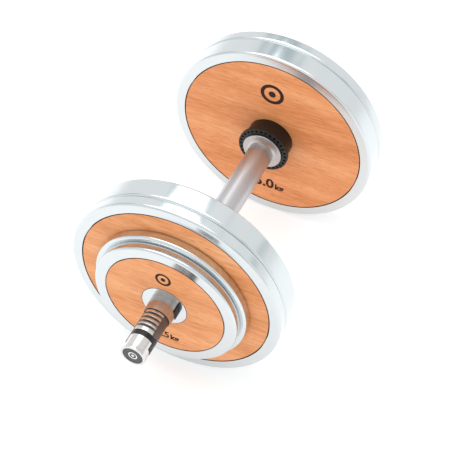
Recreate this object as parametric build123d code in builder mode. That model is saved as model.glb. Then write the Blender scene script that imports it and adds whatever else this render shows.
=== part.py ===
"""Adjustable dumbbell with wood-inlaid steel plates and a twist-lock collar at each end.

The bar lies along X and the plates' rims stand on z = 0, so the origin is under the middle of the grip.
Each end is built on +X, and the -X end is the same set turned half a turn about Z.
"""

import os
from math import floor
from build123d import *

# ---- driving dimensions, mm ----
# grip and stop
grip_r = 13.15          # outside of the grip tube, and of the tube's ends under the spacer rings
tube_wall = 4.15
grip_half = 69.5        # from the middle of the bar to the front of a stop flange
flange_thick = 2.9
flange_wide = 4.5       # how far the flange stands over its sleeve
flange_edge = 0.8
flange_boss = 1.6       # small cone that runs from the flange down to the grip
flange_boss_wide = 2.45
stop_wall = 3.25        # sleeve round the end of the tube
ring_long = 19.7        # from the flange to the stop face, where the first plate bears
spigot_long = 42.0
pin_r = 2.0
pin_inset = 7.0         # from the tube's end to the cross pin
pin_sunk = 0.3

# spacer ring round the stop sleeve
ring_wall = 7.6
ring_flange_wide = 3.0
ring_flange_thick = 3.5
ring_edge = 0.5
pocket_count = 30
pocket_size = 2.3
pocket_deep = 2.4
pocket_over_barrel = 0.4

# end rod
land_step = 0.15        # the lands stand this far under the grip's surface
channel_deep = 0.55     # the two smooth side channels that the lock's teeth travel along
slot_deep = 4.0         # from the top of a land to the flat floor of a locking slot
slot_wide = 2.4
slot_pitch = 5.0
slot_count = 14
slots_reach = 92.3      # from the stop face to the centre of the outermost slot
land_sector = 88.0      # degrees of the top and of the bottom land
last_land = 5.7         # from the outermost slot's centre to the end of the lands
neck_deep = 2.8
neck_long = 5.1

# end cap, its badge and its screw
cap_long = 17.2
cap_step = 1.0          # cap's body under the lands
cap_rim_step = 0.5      # and its rim
cap_flare_long = 3.6
cap_rim_long = 2.4
cap_edge = 0.4
cap_face_wide = 2.3     # steel left standing round the badge
badge_thick = 1.0
badge_sunk = 0.5
screw_shank_r = 3.0
screw_head_r = 5.0
screw_head_long = 5.0
screw_head_clearance = 0.2
screw_head_sunk = 0.3
screw_hole_long = 26.0
screw_tip_gap = 1.0
screw_key_r = 2.9
screw_key_deep = 3.0

# nylon guide ring that fills the neck, and its two side keys
guide_step = 0.8
guide_key_step = 0.5
guide_key_wide = 9.0
guide_key_in = 1.5      # how far a key reaches into the rod
guide_key_out = 7.3     # and into the cap
close_fit = 0.02

# plates: name, rim radius, thickness, rim width, wood depth, rim edge radius
plate_sizes = [
    ("plate_5kg", 108.8, 23.4, 10.8, 4.2, 2.8),
    ("plate_2_5kg", 108.8, 12.8, 10.8, 2.9, 2.8),
    ("plate_1_5kg", 78.4, 10.4, 11.0, 1.0, 2.5),
    ("plate_1_25kg", 73.5, 10.3, 11.4, 0.6, 2.5),
]
bore_clearance = 0.35   # plate bore to land, radial
hub_inside_ring = 1.0   # steel round the bore, against the spacer ring's barrel
hub_seam = 0.2
rim_seam = 0.5          # dark seam between the wood and the rim
wood_sunk = 0.2

# twist lock
lock_wall = 1.08
lock_bore_clearance = 0.12
key_ring_thick = 1.8
lock_long = 13.8
lock_nose_wall = 0.38   # wall left at the sleeve's outer end, where it tapers down
pilot_long = 1.4        # part of the key ring that stands inside the sleeve
pilot_wall = 0.42
running_clearance = 0.05
snap_wide = 0.6
snap_inset = 0.4        # from the pilot's foot to the snap ring
snap_deep = 0.2         # how far the snap ring sits into the pilot
tooth_wide = 1.8
tooth_half_angle = 38.0
tooth_tip_clearance = 0.08  # teeth to the cap's rim, which stands higher than the channels
key_half_angle = 14.0
tooth_past_window = 1.5 # least distance from the button's window to the middle of the teeth
button_angle = 0.0      # from level up to the middle of the button
button_stem_long = 2.6
button_stem_half = 4.4  # half the width of the stem, square to the press direction
button_cap_inset = 0.25
button_cap_long = 6.0
button_cap_half = 6.2
button_cap_thick = 0.75
button_travel = 0.5
button_clearance = 0.12
button_wall = 0.35      # sleeve wall left between the pilot's rebate and the button's window
clip_thick = 0.3
clip_wide = 2.2
clip_half_angle = 118.0
clip_gap = 0.1          # clip to the floor of its groove

# ---- sizes that follow ----
axis_height = plate_sizes[0][1]
grip_bore_r = grip_r - tube_wall
through = 4 * grip_r
stop_sleeve_r = grip_r + stop_wall
flange_r = stop_sleeve_r + flange_wide
flange_boss_r = grip_r + flange_boss_wide
ring_barrel_r = stop_sleeve_r + ring_wall
ring_flange_r = ring_barrel_r + ring_flange_wide
pocket_pitch_r = ring_barrel_r + pocket_over_barrel
flange_back = grip_half + flange_thick
stop_face = flange_back + ring_long
pin_x = stop_face - pin_inset
land_r = grip_r - land_step
channel_r = land_r - channel_deep
last_slot = stop_face + slots_reach
slot_centres = [last_slot - slot_pitch * step for step in range(slot_count)]
land_end = last_slot + last_land
neck_r = land_r - neck_deep
neck_end = land_end + neck_long
cap_r = land_r - cap_step
cap_rim_r = land_r - cap_rim_step
bar_half = neck_end + cap_long
badge_r = cap_rim_r - cap_face_wide
badge_floor = bar_half - badge_sunk - badge_thick
screw_seat = badge_floor - screw_head_long
screw_top = badge_floor - screw_head_sunk
screw_tip = neck_end - screw_hole_long + screw_tip_gap
guide_r = land_r - guide_step
guide_key_start = land_end - guide_key_in
guide_key_end = neck_end + guide_key_out
plate_bore_r = land_r + bore_clearance
hub_ring_r = ring_barrel_r - hub_inside_ring
key_face = stop_face + sum(size[2] for size in plate_sizes)
sleeve_face = key_face + key_ring_thick
sleeve_end = sleeve_face + lock_long
lock_bore_r = land_r + lock_bore_clearance
lock_r = lock_bore_r + lock_wall
lock_nose_r = lock_bore_r + lock_nose_wall
tooth_tip_r = cap_rim_r + tooth_tip_clearance
pilot_r = lock_bore_r + pilot_wall
rebate_r = pilot_r + running_clearance
rebate_end = sleeve_face + pilot_long + running_clearance
snap_in = pilot_r - snap_deep
snap_out = rebate_r + snap_deep
snap_start = sleeve_face + snap_inset
snap_end = snap_start + snap_wide
stem_start = sleeve_face + pilot_long + button_wall
window_start = stem_start - button_clearance
window_end = stem_start + button_stem_long + button_clearance
first_tooth = window_end + tooth_past_window
teeth_centre = last_slot - slot_pitch * floor((last_slot - first_tooth) / slot_pitch)
clip_start = stem_start + (button_stem_long - clip_wide) / 2
clip_out = lock_bore_r + clip_gap + clip_thick
clip_groove_r = clip_out + running_clearance
clip_groove_start = clip_start - button_clearance
clip_groove_end = clip_start + clip_wide + button_clearance
button_cap_r = lock_r + button_travel + running_clearance
button_outer_r = button_cap_r + button_cap_thick

os.makedirs("parts", exist_ok=True)
left_side = Location((0, 0, 0), (0, 0, 180))
bar_plane = Plane(origin=(0, 0, axis_height), x_dir=(0, 1, 0), z_dir=(1, 0, 0))
bar_axis = Axis((0, 0, axis_height), (1, 0, 0))


def across(x):
    """The plane square to the bar at x, with its own x along +Y and its own y up."""
    return bar_plane.offset(x)


def turned(points):
    """Revolve a closed outline of (x along the bar, radius) points about the bar."""
    with BuildPart() as solid:
        with BuildSketch(Plane(origin=(0, 0, axis_height), x_dir=(1, 0, 0), z_dir=(0, -1, 0))):
            with BuildLine():
                Polyline(*points, close=True)
            make_face()
        revolve(axis=bar_axis)
    return solid.part


def sector(inner, outer, middle, half_angle, start, length):
    """Piece of a ring from start along the bar, centred on an angle that is counted from +Y towards up."""
    reach = 2 * outer
    with BuildPart() as solid:
        with BuildSketch(across(start)):
            Circle(outer)
            Circle(inner, mode=Mode.SUBTRACT)
            with BuildLine():
                PolarLine((0, 0), reach, middle - half_angle)
                arc = CenterArc((0, 0), reach, middle - half_angle, 2 * half_angle)
                Line(arc @ 1, (0, 0))
            make_face(mode=Mode.INTERSECT)
        extrude(amount=length)
    return solid.part


def guide_keys(outer):
    """The two side keys, from the neck's radius out to a given radius."""
    with BuildPart() as solid:
        with BuildSketch(across(guide_key_start)):
            Circle(outer)
            Circle(neck_r + close_fit, mode=Mode.SUBTRACT)
            Rectangle(2 * outer, guide_key_wide, mode=Mode.INTERSECT)
        extrude(amount=guide_key_end - guide_key_start)
    return solid.part


def button_block(inner, outer, half_wide, start, length):
    """Piece of a ring with sides parallel to the button's press direction."""
    with BuildPart() as solid:
        with BuildSketch(across(start)):
            Circle(outer)
            Circle(inner, mode=Mode.SUBTRACT)
            with Locations(Location((outer, 0))):
                Rectangle(2 * outer, 2 * half_wide, mode=Mode.INTERSECT)
        extrude(amount=length)
    return solid.part.rotate(bar_axis, button_angle)


def save_pair(solid, name):
    """Write a piece of the right end, and the same piece turned round for the left end."""
    for side, place in (("right", Location()), ("left", left_side)):
        copy = place * solid
        copy.label = f"{side}_{name}"
        export_step(copy, f"parts/{side}_{name}.step")


# ---- bar ----
with BuildPart() as grip_tube:
    with BuildSketch(across(-stop_face)):
        Circle(grip_r)
        Circle(grip_bore_r, mode=Mode.SUBTRACT)
    extrude(amount=2 * stop_face)
    with Locations((pin_x, 0, axis_height), (-pin_x, 0, axis_height)):
        Cylinder(pin_r, through, mode=Mode.SUBTRACT)
grip_tube.part.label = "grip_tube"
export_step(grip_tube.part, "parts/grip_tube.step")

with BuildPart() as stop_flange:
    add(turned([
        (grip_half - flange_boss, grip_r), (grip_half, flange_boss_r),
        (grip_half, flange_r), (flange_back, flange_r),
        (flange_back, stop_sleeve_r), (stop_face, stop_sleeve_r), (stop_face, grip_r),
    ]))
    rim_edges = stop_flange.edges().filter_by(GeomType.CIRCLE)
    fillet(rim_edges.filter_by(lambda edge: edge.radius > stop_sleeve_r + flange_edge), flange_edge)
    with Locations((pin_x, 0, axis_height)):
        Cylinder(pin_r, through, mode=Mode.SUBTRACT)
save_pair(stop_flange.part, "stop_flange")

with BuildPart() as spacer_ring:
    add(turned([
        (flange_back, stop_sleeve_r), (flange_back, ring_flange_r),
        (flange_back + ring_flange_thick, ring_flange_r), (flange_back + ring_flange_thick, ring_barrel_r),
        (stop_face, ring_barrel_r), (stop_face, stop_sleeve_r),
    ]))
    outer_edges = spacer_ring.edges().filter_by(GeomType.CIRCLE)
    fillet(outer_edges.filter_by(lambda edge: edge.radius > ring_barrel_r + ring_edge), ring_edge)
    with BuildSketch(across(flange_back)):
        with PolarLocations(pocket_pitch_r, pocket_count):
            Rectangle(pocket_size, pocket_size)
    extrude(amount=pocket_deep, mode=Mode.SUBTRACT)
save_pair(spacer_ring.part, "spacer_ring")

with BuildPart() as end_rod:
    with BuildSketch(across(stop_face)):
        Circle(land_r)
    extrude(amount=land_end - stop_face)
    with BuildSketch(across(land_end)):
        Circle(neck_r)
    extrude(amount=neck_long)
    with BuildSketch(across(stop_face)):
        Circle(grip_bore_r)
    extrude(amount=-spigot_long)
    for side_angle in (0, 180):
        add(sector(channel_r, 2 * land_r, side_angle, 90 - land_sector / 2, stop_face, land_end - stop_face),
            mode=Mode.SUBTRACT)
    for side in (1, -1):
        slot_height = axis_height + side * (2 * land_r - slot_deep)
        with Locations([(centre, 0, slot_height) for centre in slot_centres]):
            Box(slot_wide, 2 * land_r, 2 * land_r, mode=Mode.SUBTRACT)
    add(guide_keys(land_r), mode=Mode.SUBTRACT)
    with Locations((pin_x, 0, axis_height)):
        Cylinder(pin_r, through, mode=Mode.SUBTRACT)
    with BuildSketch(across(neck_end)):
        Circle(screw_shank_r)
    extrude(amount=-screw_hole_long, mode=Mode.SUBTRACT)
save_pair(end_rod.part, "end_rod")

with BuildPart() as end_guide:
    with BuildSketch(across(land_end)):
        Circle(guide_r)
        Circle(neck_r + close_fit, mode=Mode.SUBTRACT)
    extrude(amount=neck_long)
    add(guide_keys(land_r - guide_key_step))
save_pair(end_guide.part, "end_guide")

with BuildPart() as cross_pin:
    with Locations((pin_x, 0, axis_height)):
        Cylinder(pin_r, 2 * (stop_sleeve_r - pin_sunk))
save_pair(cross_pin.part, "cross_pin")

with BuildPart() as end_cap:
    add(turned([
        (neck_end, 0), (neck_end, cap_r), (bar_half - cap_rim_long - cap_flare_long, cap_r),
        (bar_half - cap_rim_long, cap_rim_r), (bar_half, cap_rim_r), (bar_half, 0),
    ]))
    face_edges = end_cap.edges().filter_by(GeomType.CIRCLE).group_by(Axis.X)[-1]
    fillet(face_edges, cap_edge)
    with BuildSketch(across(bar_half)):
        Circle(badge_r)
    extrude(amount=-(badge_sunk + badge_thick), mode=Mode.SUBTRACT)
    with BuildSketch(across(badge_floor)):
        Circle(screw_head_r)
    extrude(amount=-screw_head_long, mode=Mode.SUBTRACT)
    with BuildSketch(across(neck_end)):
        Circle(screw_shank_r)
    extrude(amount=cap_long, mode=Mode.SUBTRACT)
    add(guide_keys(land_r), mode=Mode.SUBTRACT)
save_pair(end_cap.part, "end_cap")

with BuildPart() as cap_screw:
    add(turned([
        (screw_tip, 0), (screw_tip, screw_shank_r), (screw_seat, screw_shank_r),
        (screw_seat, screw_head_r - screw_head_clearance), (screw_top, screw_head_r - screw_head_clearance),
        (screw_top, 0),
    ]))
    with BuildSketch(across(screw_top)):
        RegularPolygon(screw_key_r, 6)
    extrude(amount=-screw_key_deep, mode=Mode.SUBTRACT)
save_pair(cap_screw.part, "cap_screw")

with BuildPart() as end_badge:
    with BuildSketch(across(badge_floor)):
        Circle(badge_r)
    extrude(amount=badge_thick)
save_pair(end_badge.part, "end_badge")

# ---- plates ----
inner_face = stop_face
for name, rim_r, thick, rim_wide, wood_deep, edge in plate_sizes:
    wood_r = rim_r - rim_wide
    outer_face = inner_face + thick
    with BuildPart() as disc:
        add(turned([
            (inner_face, plate_bore_r), (inner_face, rim_r), (outer_face, rim_r), (outer_face, plate_bore_r),
        ]))
        rims = disc.edges().filter_by(GeomType.CIRCLE).filter_by(lambda ring: ring.radius > wood_r)
        fillet(rims, edge)
        for face, inwards in ((inner_face, 1), (outer_face, -1)):
            with BuildSketch(across(face)):
                Circle(wood_r)
                Circle(hub_ring_r, mode=Mode.SUBTRACT)
            extrude(amount=inwards * wood_deep, mode=Mode.SUBTRACT)
    save_pair(disc.part, f"{name}_disc")
    for label, face, inwards in (("inner", inner_face, 1), ("outer", outer_face, -1)):
        with BuildPart() as wood:
            with BuildSketch(across(face + inwards * wood_sunk)):
                Circle(wood_r - rim_seam)
                Circle(hub_ring_r + hub_seam, mode=Mode.SUBTRACT)
            extrude(amount=inwards * (wood_deep - wood_sunk))
        save_pair(wood.part, f"{name}_{label}_wood")
    inner_face = outer_face

# ---- twist lock ----
with BuildPart() as key_ring:
    add(turned([
        (key_face, lock_bore_r), (key_face, lock_r), (sleeve_face, lock_r), (sleeve_face, pilot_r),
        (snap_start, pilot_r), (snap_start, snap_in), (snap_end, snap_in), (snap_end, pilot_r),
        (sleeve_face + pilot_long, pilot_r), (sleeve_face + pilot_long, lock_bore_r),
    ]))
    for side_angle in (0, 180):
        add(sector(tooth_tip_r, (lock_bore_r + pilot_r) / 2, side_angle, key_half_angle,
                   key_face, key_ring_thick))
save_pair(key_ring.part, "lock_key_ring")

with BuildPart() as snap_ring:
    ring_start, ring_end = snap_start + running_clearance, snap_end - running_clearance
    ring_in, ring_out = snap_in + close_fit, snap_out - running_clearance
    add(turned([(ring_start, ring_in), (ring_start, ring_out), (ring_end, ring_out), (ring_end, ring_in)]))
save_pair(snap_ring.part, "lock_snap_ring")

with BuildPart() as lock_sleeve:
    add(turned([
        (sleeve_face, rebate_r), (sleeve_face, lock_r), (window_end, lock_r),
        (sleeve_end, lock_nose_r), (sleeve_end, lock_bore_r),
        (clip_groove_end, lock_bore_r), (clip_groove_end, clip_groove_r),
        (clip_groove_start, clip_groove_r), (clip_groove_start, lock_bore_r),
        (rebate_end, lock_bore_r), (rebate_end, rebate_r),
        (snap_end, rebate_r), (snap_end, snap_out), (snap_start, snap_out), (snap_start, rebate_r),
    ]))
    for side_angle in (0, 180):
        add(sector(tooth_tip_r, (lock_bore_r + lock_nose_r) / 2, side_angle, tooth_half_angle,
                   teeth_centre - tooth_wide / 2, tooth_wide))
    add(button_block(lock_bore_r / 2, 2 * lock_r, button_stem_half + button_clearance,
                     window_start, window_end - window_start), mode=Mode.SUBTRACT)
save_pair(lock_sleeve.part, "lock_sleeve")

with BuildPart() as release_button:
    add(button_block(clip_groove_r, (button_cap_r + button_outer_r) / 2, button_stem_half,
                     stem_start, button_stem_long))
    add(button_block(button_cap_r, button_outer_r, button_cap_half,
                     key_face + button_cap_inset, button_cap_long))
save_pair(release_button.part, "release_button")

with BuildPart() as button_clip:
    add(sector(clip_out - clip_thick, clip_out, button_angle, clip_half_angle, clip_start, clip_wide))
save_pair(button_clip.part, "button_clip")

print("plates end at", round(key_face, 2), "sleeve", round(sleeve_face, 2), round(sleeve_end, 2),
      "teeth at", round(teeth_centre, 2), "bar half", round(bar_half, 2))
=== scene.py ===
"""Looks of the adjustable dumbbell: turned and polished steel, oiled veneer inlays and moulded black rings.

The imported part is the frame. Pieces are shaped for the right end, which lies on +X,
and the left end is the same shape turned half a turn about Z. Sizes are in millimetres until a mesh is made.
"""

import math

import bmesh
import bpy
from mathutils import Matrix, Vector


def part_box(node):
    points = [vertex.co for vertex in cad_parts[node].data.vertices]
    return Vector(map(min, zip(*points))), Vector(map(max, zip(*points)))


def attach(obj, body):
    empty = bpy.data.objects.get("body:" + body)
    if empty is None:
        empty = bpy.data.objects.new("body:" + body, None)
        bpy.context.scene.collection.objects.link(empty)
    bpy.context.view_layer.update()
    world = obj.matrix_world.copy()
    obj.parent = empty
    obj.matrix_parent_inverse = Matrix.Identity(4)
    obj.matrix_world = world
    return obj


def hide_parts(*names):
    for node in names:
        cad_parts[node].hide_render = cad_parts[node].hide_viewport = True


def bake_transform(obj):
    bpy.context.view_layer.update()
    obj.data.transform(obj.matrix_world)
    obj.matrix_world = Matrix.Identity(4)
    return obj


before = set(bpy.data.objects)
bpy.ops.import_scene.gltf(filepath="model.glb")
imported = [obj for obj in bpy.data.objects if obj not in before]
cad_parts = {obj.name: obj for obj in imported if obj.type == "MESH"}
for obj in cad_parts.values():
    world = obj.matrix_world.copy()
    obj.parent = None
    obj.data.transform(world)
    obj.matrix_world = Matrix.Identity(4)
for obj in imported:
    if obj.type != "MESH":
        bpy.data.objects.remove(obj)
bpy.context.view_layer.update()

MM = 0.001
HALF_TURN = Matrix.Rotation(math.pi, 4, "Z")
UP, FRONT, BACK = 90, 180, 0     # angles round the bar, counted from +Y towards up


def extent(node):
    """(lowest corner, highest corner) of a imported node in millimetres."""
    return [[value / MM for value in corner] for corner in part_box(node)]


def span(node):
    """(start, end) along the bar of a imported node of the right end, in millimetres."""
    low, high = extent(node)
    return low[0], high[0]


def radius(node):
    """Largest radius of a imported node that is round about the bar, in millimetres."""
    low, high = extent(node)
    return (high[2] - low[2]) / 2


AXIS_HEIGHT = radius("right_plate_5kg_disc")

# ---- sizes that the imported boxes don't give ----
PLATES = {
    # name: (rim edge rounding, weight marked on it)
    "plate_5kg": (2.8, "5,0"),
    "plate_2_5kg": (2.8, "2,5"),
    "plate_1_5kg": (2.5, "1,5"),
    "plate_1_25kg": (2.5, "1,25"),
}
# Radii, unless the name says otherwise. EDGE is a rounding, ROOT is how deep a shape is sunk in the one
# that carries it, and HALF_ANGLE and SECTOR are in degrees.
PLATE_BORE, HUB_RING = 13.35, 23.0
BORE_EDGE, HUB_EDGE, POCKET_EDGE = 0.4, 0.1, 0.15
RIM_SEAM, HUB_SEAM = 0.5, 0.2                     # width of the gap round the wood
SCORCHED_RIM, SCORCHED_HUB = 0.7, 0.35            # width of the wood's dark edges
GRIP_BORE, GRIP_EDGE = 9.0, 0.3
LAND, CHANNEL, SLOT_FLOOR = 13.0, 12.45, 9.0
SLOT_WIDE, SLOT_PITCH, SLOTS, LAST_SLOT = 2.4, 5.0, 14, 184.4
LAND_SECTOR, LAND_END, LAND_ROOT = 88.0, 190.1, 1.0
NECK, ROD_EDGE = 10.2, 0.3
CAP, CAP_RIM_LONG, CAP_FLARE_LONG = 12.0, 2.4, 3.6
CAP_EDGE, CAP_MOUTH_EDGE = 0.4, 0.25
BADGE, BADGE_SUNK, BADGE_THICK = 10.2, 0.5, 1.0
BADGE_GAP, BADGE_EDGE = 0.05, 0.2
STOP_SLEEVE, FLANGE_THICK, FLANGE_EDGE = 16.4, 2.9, 0.8
FLANGE_BOSS, FLANGE_BOSS_LONG, FLANGE_BOSS_EDGE = 15.6, 1.6, 0.4
RING_BARREL, RING_FLANGE_THICK, RING_EDGE = 24.0, 3.5, 0.5
POCKETS, POCKET_MIDDLE, POCKET_SIZE, POCKET_DEEP = 30, 24.4, 2.3, 2.4
LOCK_BORE, LOCK_PILOT, PILOT_LONG, LOCK_GAP, LOCK_NOSE = 13.12, 13.54, 1.4, 0.05, 13.5
LOCK_EDGE, LOCK_FRONT_EDGE = 0.1, 0.15
RUNNING_GAP = 0.02                                # keeps the turning sleeve's face off the key ring
SNAP_START, SNAP_WIDE, SNAP_DEEP = 0.4, 0.6, 0.2  # from the sleeve's inner face
WINDOW_START, WINDOW_LONG, WINDOW_HALF_ANGLE, WINDOW_WALL = 1.63, 2.84, 20.5, 0.6
TOOTH_TIP, TOOTH_WIDE, TOOTH_HALF_ANGLE, TOOTH_PLACE, TOOTH_ROOT = 12.58, 1.8, 38.0, 8.6, 0.2
KEY_HALF_ANGLE, KEY_ROOT = 14.0, 0.1
CLIP_THICK, CLIP_HALF_ANGLE = 0.3, 118.0

# ---- marks, as shares of the wood's radius unless in millimetres ----
MARK = (0.13, 0.09, 0.04)          # outside and inside of the ring, and the dot
MARK_HEIGHT, WEIGHT_HEIGHT = 0.62, -0.78
DIGIT_SHARE, DIGIT_LEAST = 0.173, 1.2      # letter size = share of the radius + millimetres
UNIT_SHARE, UNIT_LEAST, UNIT_GAP = 0.033, 7.8, 1.4
DIGIT_THICKENED, UNIT_THICKENED = 0.03, 0.045      # share of the letter size
INK_HALF = 0.03                    # half the thickness of a mark, in millimetres
BADGE_MARK, BADGE_INK_SUNK = (4.6, 3.4, 1.5), 0.02

# ---- how finely round shapes are divided ----
RIM_STEPS, TURNED_STEPS, SMALL_STEPS = 256, 128, 96
CORE_STEPS, LAND_STEPS, KEY_STEPS, TOOTH_STEPS = 192, 32, 12, 24
MARK_STEPS, DOT_STEPS, WINDOW_STEPS, CLIP_STEPS = 64, 32, 108, 118
STEPS_PER_POCKET = 20
WIDE_EDGE, WIDE_EDGE_STEPS, FINE_EDGE_STEPS = 1.0, 7, 3
SHARP_ANGLE = 32.0                 # degrees between faces from which an edge stays crisp
SAME_POINT = 0.0005                # millimetres between points that are merged
ON_EDGE = 0.001                    # millimetres between a point and the edge it lies on

# ---- patterns of the finishes; a triple is a number of features per metre along X, Y and Z ----
IN_MM = (1 / MM, 1 / MM, 1 / MM)
SMEAR_MM, SMEAR_SPREAD, LINE_SPREAD = 1 / 0.03, 0.06, 0.06
STREAKS, STREAK_DEEP_MM, STREAK_SPREAD = (6, 560, 560), 0.06, 0.22     # 170 mm long, 1.8 mm wide
GRAIN_WANDER, WANDER_MM = (40, 9, 26), 6
BANDS = (60, 6, 50)                # 170 mm long, 20 mm high
GRAIN = (160, 48, 700)             # 21 mm long, 1.4 mm high
PORES = (300, 130, 1100)           # 8 mm long, 0.9 mm high
GRAIN_SHARE, PORE_DEEP_MM = 0.55, 0.04
CHERRY = ((0.34, "#CF8149"), (0.46, "#E2955F"), (0.55, "#ECA26D"), (0.68, "#F6B685"))
CHERRY_PORE = "#B66E40"
MATT_GRAIN_DEEP_MM, MATT_SPREAD = 0.04, 0.2


# ---- materials ----
def linear(hex_colour):
    """sRGB hex text to linear RGBA."""
    parts = [int(hex_colour[i:i + 2], 16) / 255 for i in (1, 3, 5)]
    return [p / 12.92 if p <= 0.04045 else ((p + 0.055) / 1.055) ** 2.4 for p in parts] + [1.0]


def add_node(tree, kind, inputs=None, **settings):
    """Add a shader node, give it its settings, and set or link its inputs."""
    node = tree.nodes.new("ShaderNode" + kind)
    for key, value in settings.items():
        setattr(node, key, value)
    for key, value in (inputs or {}).items():
        if isinstance(value, bpy.types.NodeSocket):
            tree.links.new(value, node.inputs[key])
        else:
            node.inputs[key].default_value = value
    return node


def new_material(name, **shader_values):
    """A material with only its Principled shader, whose plain values are set on its own sockets."""
    material = bpy.data.materials.new(name)
    material.use_nodes = True
    shader = material.node_tree.nodes["Principled BSDF"]
    for key, value in shader_values.items():
        shader.inputs[key.replace("_", " ")].default_value = value
    return material, material.node_tree, shader


def scaled_place(tree, scale):
    """Object coordinates from the bar's axis, multiplied by a scale for each direction."""
    place = add_node(tree, "TexCoord").outputs["Object"]
    centred = add_node(tree, "VectorMath", {0: place, 1: (0, 0, AXIS_HEIGHT * MM)}, operation="SUBTRACT")
    scaled = add_node(tree, "VectorMath", {0: centred.outputs[0], 1: scale}, operation="MULTIPLY")
    return scaled.outputs[0]


def wandering(tree, pattern, spread, middle):
    """A value that wanders with a pattern by a spread about its middle."""
    node = add_node(tree, "Math", {0: pattern, 1: spread, 2: middle - spread / 2}, operation="MULTIPLY_ADD")
    return node.outputs[0]


def ramp(tree, factor, stops):
    """A colour ramp through (position, hex colour) stops."""
    node = add_node(tree, "ValToRGB", {0: factor})
    elements = node.color_ramp.elements
    while len(elements) < len(stops):
        elements.new(0.5)
    for element, (position, colour) in zip(elements, stops):
        element.position = position
        element.color = linear(colour)
    return node.outputs[0]


def turned_steel(name, colour, roughness, line_mm, deep_mm):
    """Steel turned on a lathe, then polished: fine rings round the bar's axis, a soft bright shine.

    Real turning lines are a tenth of a millimetre apart; they are drawn coarser so that they show.
    """
    material, tree, shader = new_material(name, Metallic=1.0)
    shader.inputs["Base Color"].default_value = linear(colour)
    place = scaled_place(tree, IN_MM)
    split = add_node(tree, "SeparateXYZ", {0: place})
    flat = add_node(tree, "CombineXYZ", {1: split.outputs[1], 2: split.outputs[2]})
    out = add_node(tree, "VectorMath", {0: flat.outputs[0]}, operation="LENGTH")
    rings = add_node(tree, "CombineXYZ", {0: split.outputs[0], 1: out.outputs["Value"]})
    lines = add_node(tree, "TexNoise", {
        "Vector": rings.outputs[0], "Scale": 1 / line_mm, "Detail": 3.0, "Roughness": 0.6})
    smears = add_node(tree, "TexNoise", {"Vector": place, "Scale": 1 / SMEAR_MM, "Detail": 2.0})
    smeared = wandering(tree, smears.outputs[0], SMEAR_SPREAD, roughness)
    both = add_node(tree, "Math", {0: lines.outputs[0], 1: LINE_SPREAD, 2: smeared},
                    operation="MULTIPLY_ADD")
    bump = add_node(tree, "Bump", {
        "Height": lines.outputs[0], "Strength": 0.6, "Distance": deep_mm * MM})
    tree.links.new(both.outputs[0], shader.inputs["Roughness"])
    tree.links.new(bump.outputs[0], shader.inputs["Normal"])
    return material


def brushed_steel(name, colour, roughness):
    """Stainless tube brushed along its length: streaks that run with the bar and blur what it mirrors.

    Real brush marks are finer; they are drawn about 2 mm wide so that they show.
    """
    material, tree, shader = new_material(name, Metallic=1.0)
    shader.inputs["Base Color"].default_value = linear(colour)
    streaks = add_node(tree, "TexNoise", {
        "Vector": scaled_place(tree, STREAKS), "Scale": 1.0, "Detail": 4.0, "Roughness": 0.65})
    bump = add_node(tree, "Bump", {
        "Height": streaks.outputs[0], "Strength": 0.8, "Distance": STREAK_DEEP_MM * MM})
    tree.links.new(wandering(tree, streaks.outputs[0], STREAK_SPREAD, roughness), shader.inputs["Roughness"])
    tree.links.new(bump.outputs[0], shader.inputs["Normal"])
    return material


def veneer():
    """Oiled cherry veneer: level grain along Y with slow bands of tone, short pores and a satin shine."""
    material, tree, shader = new_material("oiled_cherry_veneer", Roughness=0.5, IOR=1.45)
    shader.inputs["Specular IOR Level"].default_value = 0.3
    wander = add_node(tree, "TexNoise", {
        "Vector": scaled_place(tree, GRAIN_WANDER), "Scale": 1.0, "Detail": 2.0})
    shift = add_node(tree, "VectorMath", {0: wander.outputs["Color"], 1: (0, 0, WANDER_MM * MM)},
                     operation="MULTIPLY")
    place = add_node(tree, "VectorMath", {0: scaled_place(tree, (1, 1, 1)), 1: shift.outputs[0]},
                     operation="ADD")

    def stretched(scale, detail, rough):
        """Noise with its own number of features per metre in each direction."""
        vector = add_node(tree, "VectorMath", {0: place.outputs[0], 1: scale}, operation="MULTIPLY")
        noise = add_node(tree, "TexNoise", {
            "Vector": vector.outputs[0], "Scale": 1.0, "Detail": detail, "Roughness": rough})
        return noise.outputs[0]

    bands = stretched(BANDS, 2.0, 0.5)
    grain = stretched(GRAIN, 4.0, 0.6)
    pores = stretched(PORES, 2.0, 0.5)
    fine = add_node(tree, "Math", {0: grain, 1: GRAIN_SHARE, 2: 0.0}, operation="MULTIPLY_ADD")
    tone = add_node(tree, "Math", {0: bands, 1: 1 - GRAIN_SHARE, 2: fine.outputs[0]},
                    operation="MULTIPLY_ADD")
    wood = ramp(tree, tone.outputs[0], CHERRY)
    fleck = add_node(tree, "MapRange", {
        "Value": pores, "From Min": 0.60, "From Max": 0.70, "To Min": 0.0, "To Max": 0.5})
    colour = add_node(tree, "Mix", {0: fleck.outputs[0], 6: wood, 7: linear(CHERRY_PORE)},
                      data_type="RGBA")
    bump = add_node(tree, "Bump", {
        "Height": fleck.outputs[0], "Strength": 0.4, "Distance": PORE_DEEP_MM * MM}, invert=True)
    tree.links.new(colour.outputs[2], shader.inputs["Base Color"])
    tree.links.new(bump.outputs[0], shader.inputs["Normal"])
    return material


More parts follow.
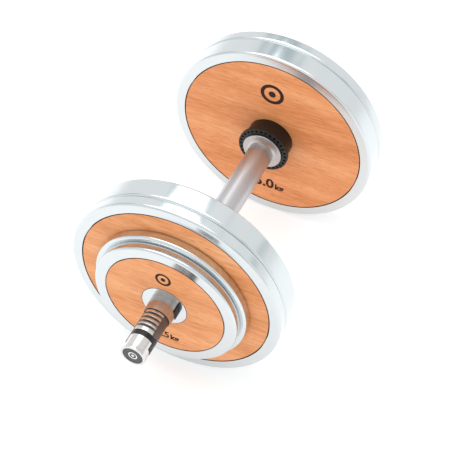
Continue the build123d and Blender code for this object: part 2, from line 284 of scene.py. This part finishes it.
def matt(name, colours, roughness, grain_mm):
    """Plastic, rubber, enamel or char: two close tones mottled by a fine grain that breaks up the shine."""
    material, tree, shader = new_material(name, IOR=1.5)
    grain = add_node(tree, "TexNoise", {
        "Vector": scaled_place(tree, IN_MM), "Scale": 1 / grain_mm, "Detail": 3.0})
    tint = ramp(tree, grain.outputs[0], [(0.3, colours[0]), (0.7, colours[1])])
    bump = add_node(tree, "Bump", {
        "Height": grain.outputs[0], "Strength": 0.5, "Distance": MATT_GRAIN_DEEP_MM * MM})
    tree.links.new(tint, shader.inputs["Base Color"])
    tree.links.new(wandering(tree, grain.outputs[0], MATT_SPREAD, roughness), shader.inputs["Roughness"])
    tree.links.new(bump.outputs[0], shader.inputs["Normal"])
    return material


# Turned and polished plates: nearly a mirror, which the lines only just soften.
PLATE_STEEL = turned_steel("turned_stainless_plate", "#D2D7D9", roughness=0.12, line_mm=0.9, deep_mm=0.001)
# Polished lands and end cap: a bright mirror, slightly warm.
BAR_STEEL = turned_steel("polished_stainless_bar", "#D6D2CF", roughness=0.13, line_mm=0.5, deep_mm=0.004)
# Polished collar, worn by handling: duller, with a blurred mirror image.
LOCK_STEEL = turned_steel("polished_stainless_lock", "#BBB3AF", roughness=0.26, line_mm=0.5, deep_mm=0.004)
# Brushed grip: a grey satin with streaks along it.
GRIP_STEEL = brushed_steel("brushed_stainless_grip", "#BDBCBE", roughness=0.34)
# Fine-turned flange: satin.
FLANGE_STEEL = turned_steel("satin_stainless_flange", "#B8B5B4", roughness=0.26, line_mm=0.5, deep_mm=0.006)
# Milled slot floors and side channels: grey steel darkened to paint the shade in the slots and a dark
# reflection along the channels.
SLOT_SHADE_STEEL = turned_steel("milled_steel_painted_shade", "#6E6763", roughness=0.36, line_mm=0.4, deep_mm=0.006)
# Springs, screws and pins: plain grey steel.
SPRING_STEEL = turned_steel("plain_spring_steel", "#8E8E90", roughness=0.35, line_mm=0.4, deep_mm=0.006)
VENEER = veneer()
# Moulded rings: near black, a dull shine.
NYLON = matt("moulded_black_nylon", ("#030202", "#070605"), roughness=0.40, grain_mm=0.7)
# The button: black without a shine.
RUBBER = matt("moulded_black_rubber", ("#0A0A0B", "#161617"), roughness=0.55, grain_mm=0.5)
# Marks and edges burnt by a laser: brown-black char.
BURNT = matt("laser_burnt_mark", ("#240E07", "#3A180D"), roughness=0.9, grain_mm=0.4)
# The badge: dark grey enamel under a white printed mark.
BADGE_DARK = matt("dark_satin_enamel", ("#2E3335", "#3A4043"), roughness=0.35, grain_mm=0.6)
BADGE_WHITE = matt("white_pad_print", ("#DADADA", "#F2F2F2"), roughness=0.5, grain_mm=0.6)


# ---- shaping ----
def off_axis(point):
    """Distance of a point from the X axis."""
    return math.hypot(point.y, point.z)


def on_ring(vert, x, r):
    """True where a vertex lies on the circle of radius r about the X axis at x."""
    return abs(vert.co.x - x) < ON_EDGE and abs(off_axis(vert.co) - r) < ON_EDGE


def spun(outline, segments=TURNED_STEPS, middle=UP, sector=360.0):
    """Spin a closed outline about the bar into a closed solid.

    Each point is (place along the bar, radius, edge rounding). A sector is centred on the angle middle.
    """
    bm = bmesh.new()
    full = sector >= 360.0
    turn = Matrix.Rotation(math.radians(middle - sector / 2), 4, "X")
    points = [turn @ Vector((x, r, 0)) for x, r, _ in outline]
    verts = [bm.verts.new(point) for point in points]
    edges = [bm.edges.new((a, b)) for a, b in zip(verts, verts[1:] + verts[:1])]
    geometry = edges if full else verts + edges + [bm.faces.new(verts)]
    bmesh.ops.spin(bm, geom=geometry, cent=(0, 0, 0), axis=(1, 0, 0), angle=math.radians(sector),
                   steps=segments, use_merge=full)
    bmesh.ops.remove_doubles(bm, verts=bm.verts, dist=SAME_POINT)
    bmesh.ops.recalc_face_normals(bm, faces=bm.faces)
    for x, r, rounding in outline:
        if rounding:
            ring = [edge for edge in bm.edges if all(on_ring(vert, x, r) for vert in edge.verts)]
            steps = FINE_EDGE_STEPS if rounding < WIDE_EDGE else WIDE_EDGE_STEPS
            bmesh.ops.bevel(bm, geom=ring, offset=rounding, offset_type="OFFSET", affect="EDGES",
                            segments=steps, profile=0.5, material=-1)
    return bm


def raised(bm):
    """Put a shape made about the X axis at the bar's height."""
    bmesh.ops.translate(bm, vec=(0, 0, AXIS_HEIGHT), verts=bm.verts)
    return bm


def make_piece(name, bm, materials):
    """Turn a bmesh in millimetres into a finished piece in metres, with smooth faces and crisp edges."""
    bmesh.ops.scale(bm, vec=(MM, MM, MM), verts=bm.verts)
    mesh = bpy.data.meshes.new(name)
    bm.to_mesh(mesh)
    bm.free()
    for material in materials if isinstance(materials, tuple) else (materials,):
        mesh.materials.append(material)
    mesh.shade_smooth()
    mesh.set_sharp_from_angle(angle=math.radians(SHARP_ANGLE))
    piece = bpy.data.objects.new(name, mesh)
    bpy.context.scene.collection.objects.link(piece)
    even = piece.modifiers.new("even_normals", "WEIGHTED_NORMAL")
    even.keep_sharp = True
    return piece


def end_piece(side, name, shape, material):
    """Make the piece of one end from a shape of the right end."""
    bm = raised(shape())
    if side == "left":
        bmesh.ops.transform(bm, matrix=HALF_TURN, verts=bm.verts)
    return make_piece(f"{side}_{name}", bm, material)


def both_ends(name, shape, material, body, node):
    """Make a piece for each end; name, body and node take the side's name in front."""
    for side in ("right", "left"):
        piece = end_piece(side, name, shape, material)
        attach(piece, body if body == "bar" else f"{side}_{body}")
        if node:
            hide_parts(f"{side}_{node}")


# ---- bar ----
def grip_shape():
    """Plain tube, longer than what shows of it: its ends run under the spacer rings."""
    start, end = -span("grip_tube")[1], span("grip_tube")[1]
    outside = radius("grip_tube")
    return spun([(start, GRIP_BORE, 0), (start, outside, GRIP_EDGE), (end, outside, GRIP_EDGE),
                 (end, GRIP_BORE, 0)])


def flange_shape():
    """Thin disc with a tapered boss in front and a sleeve behind it."""
    start, end = span("right_stop_flange")
    front = start + FLANGE_BOSS_LONG
    back = front + FLANGE_THICK
    grip, rim = radius("grip_tube"), radius("right_stop_flange")
    return spun([(start, grip, 0), (front, FLANGE_BOSS, FLANGE_BOSS_EDGE), (front, rim, FLANGE_EDGE),
                 (back, rim, FLANGE_EDGE), (back, STOP_SLEEVE, 0), (end, STOP_SLEEVE, 0), (end, grip, 0)])


def spacer_ring_shape():
    """The moulded ring, with a circle of square pockets pushed into its front face."""
    start, end = span("right_spacer_ring")
    rim = radius("right_spacer_ring")
    step = start + RING_FLANGE_THICK
    inner, outer = POCKET_MIDDLE - POCKET_SIZE / 2, POCKET_MIDDLE + POCKET_SIZE / 2
    bm = spun([(start, STOP_SLEEVE, 0), (start, inner, 0), (start, outer, 0), (start, rim, RING_EDGE),
               (step, rim, RING_EDGE), (step, RING_BARREL, 0), (end, RING_BARREL, 0), (end, STOP_SLEEVE, 0)],
              POCKETS * STEPS_PER_POCKET)
    pitch = math.tau / POCKETS
    half = POCKET_SIZE / POCKET_MIDDLE / 2
    pocket_faces = []
    for face in bm.faces:
        place = face.calc_center_median()
        turn = (math.atan2(place.z, place.y) + pitch / 2) % pitch - pitch / 2
        if abs(place.x - start) < ON_EDGE and inner < off_axis(place) < outer and abs(turn) < half:
            pocket_faces.append(face)
    pushed = bmesh.ops.extrude_face_region(bm, geom=pocket_faces)
    moved = [item for item in pushed["geom"] if isinstance(item, bmesh.types.BMVert)]
    bmesh.ops.translate(bm, vec=(POCKET_DEEP, 0, 0), verts=moved)
    bmesh.ops.delete(bm, geom=pocket_faces, context="FACES_ONLY")
    return bm


def joined(shapes):
    """One bmesh that holds several closed shapes."""
    whole = bmesh.new()
    for shape in shapes:
        mesh = bpy.data.meshes.new("part")
        shape.to_mesh(mesh)
        shape.free()
        whole.from_mesh(mesh)
        bpy.data.meshes.remove(mesh)
    return whole


def flat_core(start, end):
    """Round bar with a flat on its top and on its bottom, as deep as the floors of the locking slots."""
    bm = bmesh.new()
    upright = Matrix.Translation((start, 0, 0)) @ Matrix.Rotation(math.pi / 2, 4, "Y")
    bmesh.ops.create_circle(bm, cap_ends=True, segments=CORE_STEPS, radius=CHANNEL, matrix=upright)
    for side in (1, -1):
        bmesh.ops.bisect_plane(bm, geom=list(bm.verts) + list(bm.edges) + list(bm.faces),
                               plane_co=(0, 0, side * SLOT_FLOOR), plane_no=(0, 0, side), clear_outer=True)
    grown = bmesh.ops.extrude_face_region(bm, geom=list(bm.faces), use_keep_orig=True)
    moved = [item for item in grown["geom"] if isinstance(item, bmesh.types.BMVert)]
    bmesh.ops.translate(bm, vec=(end - start, 0, 0), verts=moved)
    bmesh.ops.recalc_face_normals(bm, faces=bm.faces)
    # Faces along the bar take the second material, the darkened steel that paints shade in the slots and a
    # dark reflection in the channels; the end faces keep the first.
    for face in bm.faces:
        face.material_index = int(abs(face.normal.x) < 0.5)
    return bm


def rod_shape():
    """Core with the two smooth side channels, and the lands that stand between its locking slots."""
    start, end = span("grip_tube")[1], span("right_end_rod")[1]
    inside = SLOT_FLOOR - LAND_ROOT
    neck_start = LAND_END - LAND_ROOT
    shapes = [flat_core(start, LAND_END),
              spun([(neck_start, 0, 0), (neck_start, NECK, 0), (end, NECK, 0), (end, 0, 0)], SMALL_STEPS)]
    slots = sorted(LAST_SLOT - SLOT_PITCH * step for step in range(SLOTS))
    lands = zip([start] + [slot + SLOT_WIDE / 2 for slot in slots],
                [slot - SLOT_WIDE / 2 for slot in slots] + [LAND_END])
    for low, high in lands:
        for middle in (UP, -UP):
            shapes.append(spun([(low, inside, 0), (low, LAND, ROD_EDGE), (high, LAND, ROD_EDGE),
                                (high, inside, 0)], LAND_STEPS, middle, LAND_SECTOR))
    return joined(shapes)


def cap_shape():
    """Round cap that flares to its rim, with a shallow seat for the badge."""
    start, end = span("right_end_cap")
    rim = radius("right_end_cap")
    floor = end - BADGE_SUNK - BADGE_THICK
    flare_end = end - CAP_RIM_LONG
    return spun([(start, 0, 0), (start, CAP, CAP_EDGE), (flare_end - CAP_FLARE_LONG, CAP, 0),
                 (flare_end, rim, 0), (end, rim, CAP_EDGE), (end, BADGE, CAP_MOUTH_EDGE), (floor, BADGE, 0),
                 (floor, 0, 0)])


def badge_shape():
    """Disc that lies in the cap's seat."""
    start, end = span("right_end_badge")
    rim = BADGE - BADGE_GAP
    return spun([(start, 0, 0), (start, rim, 0), (end, rim, BADGE_EDGE), (end, 0, 0)], SMALL_STEPS)


def ring_mark(start, outer, inner, dot):
    """A plain ring with a dot in it, as a generic mark."""
    end = start + 2 * INK_HALF
    return joined([
        spun([(start, inner, 0), (start, outer, 0), (end, outer, 0), (end, inner, 0)], MARK_STEPS),
        spun([(start, 0, 0), (start, dot, 0), (end, dot, 0), (end, 0, 0)], DOT_STEPS)])


def badge_mark_shape():
    """The generic mark, printed on the badge."""
    return ring_mark(span("right_end_badge")[1] - BADGE_INK_SUNK, *BADGE_MARK)


grip = make_piece("grip", raised(grip_shape()), GRIP_STEEL)
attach(grip, "bar")
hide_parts("grip_tube")
both_ends("flange", flange_shape, FLANGE_STEEL, "bar", "stop_flange")
both_ends("moulded_spacer", spacer_ring_shape, NYLON, "bar", "spacer_ring")
both_ends("slotted_rod", rod_shape, (BAR_STEEL, SLOT_SHADE_STEEL), "bar", "end_rod")
both_ends("polished_cap", cap_shape, BAR_STEEL, "bar", "end_cap")
both_ends("badge_disc", badge_shape, BADGE_DARK, "bar", "end_badge")
both_ends("badge_mark", badge_mark_shape, BADGE_WHITE, "bar", None)


# ---- plates ----
def disc_shape(plate):
    """Steel disc with a round pocket in each face and a bare hub ring round the bore."""
    edge = PLATES[plate][0]
    start, end = span(f"right_{plate}_disc")
    rim = radius(f"right_{plate}_disc")
    wood = radius(f"right_{plate}_inner_wood") + RIM_SEAM
    deep = span(f"right_{plate}_inner_wood")[1] - start
    inner, outer = start + deep, end - deep
    return spun([(start, PLATE_BORE, BORE_EDGE), (start, HUB_RING, HUB_EDGE), (inner, HUB_RING, 0),
                 (inner, wood, 0), (start, wood, POCKET_EDGE), (start, rim, edge), (end, rim, edge),
                 (end, wood, POCKET_EDGE), (outer, wood, 0), (outer, HUB_RING, 0),
                 (end, HUB_RING, HUB_EDGE), (end, PLATE_BORE, BORE_EDGE)], RIM_STEPS)


def wood_shape(node):
    """Flat ring of veneered board, scorched by the laser along its cut edges."""
    start, end = span(node)
    rim, hub = radius(node), HUB_RING + HUB_SEAM
    scorched_hub, scorched_rim = hub + SCORCHED_HUB, rim - SCORCHED_RIM
    bm = spun([(start, hub, 0), (start, scorched_hub, 0), (start, scorched_rim, 0), (start, rim, 0),
               (end, rim, 0), (end, scorched_rim, 0), (end, scorched_hub, 0), (end, hub, 0)], RIM_STEPS)
    for face in bm.faces:
        face.material_index = int(not scorched_hub < off_axis(face.calc_center_median()) < scorched_rim)
    return bm


def flat_text(words, size, left, thickened):
    """Closed lettering in the XY plane that starts at X = left; returns it with where it ends."""
    curve = bpy.data.curves.new("lettering", "FONT")
    curve.body = words
    curve.size = size
    curve.extrude = INK_HALF
    curve.offset = thickened * size
    holder = bpy.data.objects.new("lettering", curve)
    bpy.context.scene.collection.objects.link(holder)
    bpy.context.view_layer.update()
    mesh = bpy.data.meshes.new_from_object(holder.evaluated_get(bpy.context.evaluated_depsgraph_get()))
    bm = bmesh.new()
    bm.from_mesh(mesh)
    bpy.data.objects.remove(holder)
    bpy.data.meshes.remove(mesh)
    bmesh.ops.remove_doubles(bm, verts=bm.verts, dist=SAME_POINT)
    low = min(vert.co.x for vert in bm.verts)
    bmesh.ops.translate(bm, vec=(left - low, 0, 0), verts=bm.verts)
    bmesh.ops.recalc_face_normals(bm, faces=bm.faces)
    return bm, max(vert.co.x for vert in bm.verts)


def marks_shape(node, inner_face, weight):
    """Ring-and-dot mark above the bore and the weight below it, laid on a wood face."""
    start, end = span(node)
    rim = radius(node)
    digits, right = flat_text(weight, DIGIT_SHARE * rim + DIGIT_LEAST, 0, DIGIT_THICKENED)
    unit, right = flat_text("kg", UNIT_SHARE * rim + UNIT_LEAST, right + UNIT_GAP, UNIT_THICKENED)
    lettering = joined([digits, unit])
    bmesh.ops.translate(lettering, vec=(-right / 2, WEIGHT_HEIGHT * rim, 0), verts=lettering.verts)
    mark = ring_mark(-INK_HALF, *[share * rim for share in MARK])
    bmesh.ops.rotate(mark, matrix=Matrix.Rotation(-math.pi / 2, 3, "Y"), verts=mark.verts)
    bmesh.ops.translate(mark, vec=(0, MARK_HEIGHT * rim, 0), verts=mark.verts)
    whole = joined([lettering, mark])
    outwards = -1 if inner_face else 1
    place = start if inner_face else end
    turn = Matrix(((0, 0, outwards, place), (outwards, 0, 0, 0), (0, 1, 0, 0), (0, 0, 0, 1)))
    bmesh.ops.transform(whole, matrix=turn, verts=whole.verts)
    return whole


for plate, (_, weight) in PLATES.items():
    both_ends(f"{plate}_steel", lambda: disc_shape(plate), PLATE_STEEL, plate, f"{plate}_disc")
    for face in ("inner", "outer"):
        wood = f"{plate}_{face}_wood"
        both_ends(f"{plate}_{face}_veneer", lambda: wood_shape(f"right_{wood}"), (VENEER, BURNT), plate,
                  wood)
        both_ends(f"{plate}_{face}_marks", lambda: marks_shape(f"right_{wood}", face == "inner", weight),
                  BURNT, plate, None)


# ---- twist lock ----
def key_ring_shape():
    """Ring with a grooved pilot that the sleeve turns on, and a key for each side channel of the rod."""
    start = span("right_lock_key_ring")[0]
    face = span("right_lock_sleeve")[0]
    outside = radius("right_lock_sleeve")
    foot, groove = face + SNAP_START, LOCK_PILOT - SNAP_DEEP
    ring = spun([(start, LOCK_BORE, 0), (start, outside, LOCK_FRONT_EDGE), (face, outside, LOCK_EDGE),
                 (face, LOCK_PILOT, 0), (foot, LOCK_PILOT, 0), (foot, groove, 0),
                 (foot + SNAP_WIDE, groove, 0), (foot + SNAP_WIDE, LOCK_PILOT, 0),
                 (face + PILOT_LONG, LOCK_PILOT, 0), (face + PILOT_LONG, LOCK_BORE, 0)])
    root = LOCK_BORE + KEY_ROOT
    keys = [spun([(start, TOOTH_TIP, 0), (start, root, 0), (face, root, 0), (face, TOOTH_TIP, 0)], KEY_STEPS,
                 middle, 2 * KEY_HALF_ANGLE) for middle in (FRONT, BACK)]
    return joined([ring] + keys)


def sleeve_shape():
    """Two rings with the wall between them, which is open at the button's window, and the locking teeth."""
    face, end = span("right_lock_sleeve")
    outside = radius("right_lock_sleeve")
    front = face + RUNNING_GAP
    rebate = LOCK_PILOT + LOCK_GAP
    rebate_end = face + PILOT_LONG + LOCK_GAP
    snap, snap_end = face + SNAP_START, face + SNAP_START + SNAP_WIDE
    window, window_end = face + WINDOW_START, face + WINDOW_START + WINDOW_LONG
    wall = outside - WINDOW_WALL
    shapes = [
        spun([(front, rebate, 0), (front, outside, LOCK_EDGE), (window, outside, 0), (window, LOCK_BORE, 0),
              (rebate_end, LOCK_BORE, 0), (rebate_end, rebate, 0), (snap_end, rebate, 0),
              (snap_end, rebate + SNAP_DEEP, 0), (snap, rebate + SNAP_DEEP, 0), (snap, rebate, 0)]),
        spun([(window, wall, 0), (window, outside, 0), (window_end, outside, 0), (window_end, wall, 0)],
             WINDOW_STEPS, FRONT, 360 - 2 * WINDOW_HALF_ANGLE),
        spun([(window_end, LOCK_BORE, 0), (window_end, outside, 0), (end, LOCK_NOSE, LOCK_EDGE),
              (end, LOCK_BORE, LOCK_EDGE)]),
    ]
    root = LOCK_BORE + TOOTH_ROOT
    tooth = face + TOOTH_PLACE - TOOTH_WIDE / 2
    tooth_end = tooth + TOOTH_WIDE
    for middle in (FRONT, BACK):
        shapes.append(spun([(tooth, TOOTH_TIP, 0), (tooth, root, 0), (tooth_end, root, 0),
                            (tooth_end, TOOTH_TIP, 0)], TOOTH_STEPS, middle, 2 * TOOTH_HALF_ANGLE))
    return joined(shapes)


both_ends("lock_ring", key_ring_shape, LOCK_STEEL, "lock_key", "lock_key_ring")
both_ends("lock_collar", sleeve_shape, LOCK_STEEL, "lock_sleeve", "lock_sleeve")


def clip_shape():
    """C-shaped spring in the sleeve's bore, finely divided."""
    start, end = span("right_button_clip")
    outside = radius("right_button_clip")
    inside = outside - CLIP_THICK
    return spun([(start, inside, 0), (start, outside, 0), (end, outside, 0), (end, inside, 0)], CLIP_STEPS,
                BACK, 2 * CLIP_HALF_ANGLE)


for side, towards_button in (("right", 1), ("left", -1)):
    clip = end_piece(side, "bowed_clip", clip_shape, SPRING_STEEL)
    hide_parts(f"{side}_button_clip")
    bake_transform(clip)

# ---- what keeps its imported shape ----
PACKED = {
    "lock_snap_ring": SPRING_STEEL, "cap_screw": SPRING_STEEL,
    "cross_pin": SPRING_STEEL, "release_button": RUBBER, "end_guide": NYLON,
}
for name, material in PACKED.items():
    for side in ("right", "left"):
        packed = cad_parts[f"{side}_{name}"]
        packed.data.materials.clear()
        packed.data.materials.append(material)


# ---- studio ----
FLOOR_HALF, FLOOR_TONE, FLOOR_GLOW = 30000, "#DADADA", 0.45
ROOM_PATCHES = (2.2, 4.5, 1.2)     # how often the room's tone changes across each direction
ROOM_TONES = ((0.36, "#B9C4C8"), (0.43, "#DCE5E8"), (0.48, "#FBFDFD"), (0.62, "#FFFFFF"))
ROOM_STRENGTH = 1.05
PLAIN_BELOW, PATCHED_ABOVE = 0.1, 0.3      # height on the unit sphere, so the horizon stays white
BOX_PLACE, BOX_TARGET, BOX_SIZE, BOX_WATTS = (0.2, 0.3, 1.6), (0, 0, 0.1), (1.6, 1.6), 14
LENS, SENSOR_WIDE, FARTHEST = 122.66, 36.0, 50.0
CAMERA_PLACE, CAMERA_DOWN, CAMERA_TURN = (-0.9150, -0.4254, 1.2341), 49.13, -64.65


def add_light(name, place, target, size, watts, colour):
    """A square soft box aimed at a point."""
    data = bpy.data.lights.new(name, "AREA")
    data.shape = "RECTANGLE"
    data.size, data.size_y = size
    data.energy = watts
    data.color = linear(colour)[:3]
    lamp = bpy.data.objects.new(name, data)
    lamp.location = place
    lamp.rotation_euler = (Vector(target) - Vector(place)).to_track_quat("-Z", "Y").to_euler()
    bpy.context.scene.collection.objects.link(lamp)


def studio():
    """White sweep under a soft room whose brightness wanders, so that polished steel shows bands."""
    floor_bm = bmesh.new()
    bmesh.ops.create_grid(floor_bm, x_segments=1, y_segments=1, size=FLOOR_HALF)
    floor_material, _, shader = new_material("white_studio_floor", Roughness=0.9)
    shader.inputs["Base Color"].default_value = linear(FLOOR_TONE)
    shader.inputs["Emission Color"].default_value = linear("#FFFFFF")
    shader.inputs["Emission Strength"].default_value = FLOOR_GLOW
    floor = make_piece("floor", floor_bm, floor_material)
    world = bpy.data.worlds.new("studio")
    bpy.context.scene.world = world
    world.use_nodes = True
    tree = world.node_tree
    direction = add_node(tree, "TexCoord").outputs["Generated"]
    stretched = add_node(tree, "VectorMath", {0: direction, 1: ROOM_PATCHES}, operation="MULTIPLY")
    patches = add_node(tree, "TexNoise", {"Vector": stretched.outputs[0], "Scale": 1.0, "Detail": 1.0})
    room = ramp(tree, patches.outputs[0], ROOM_TONES)
    height = add_node(tree, "SeparateXYZ", {0: direction}).outputs[2]
    patched = add_node(tree, "MapRange", {
        "Value": height, "From Min": PLAIN_BELOW, "From Max": PATCHED_ABOVE})
    whole = add_node(tree, "Mix", {0: patched.outputs[0], 6: linear("#FFFFFF"), 7: room}, data_type="RGBA")
    background = tree.nodes["Background"]
    tree.links.new(whole.outputs[2], background.inputs["Color"])
    background.inputs["Strength"].default_value = ROOM_STRENGTH
    add_light("overhead_soft_box", BOX_PLACE, BOX_TARGET, BOX_SIZE, BOX_WATTS, "#FFFFFF")
    bpy.context.scene.view_settings.view_transform = "Standard"


def camera():
    """Looks down along the bar from above its left end, through a long lens."""
    data = bpy.data.cameras.new("camera")
    data.lens = LENS
    data.sensor_width = SENSOR_WIDE
    data.clip_end = FARTHEST
    view = bpy.data.objects.new("camera", data)
    view.location = CAMERA_PLACE
    view.rotation_euler = (math.radians(90 - CAMERA_DOWN), 0, math.radians(CAMERA_TURN))
    bpy.context.scene.collection.objects.link(view)
    bpy.context.scene.camera = view


studio()
camera()
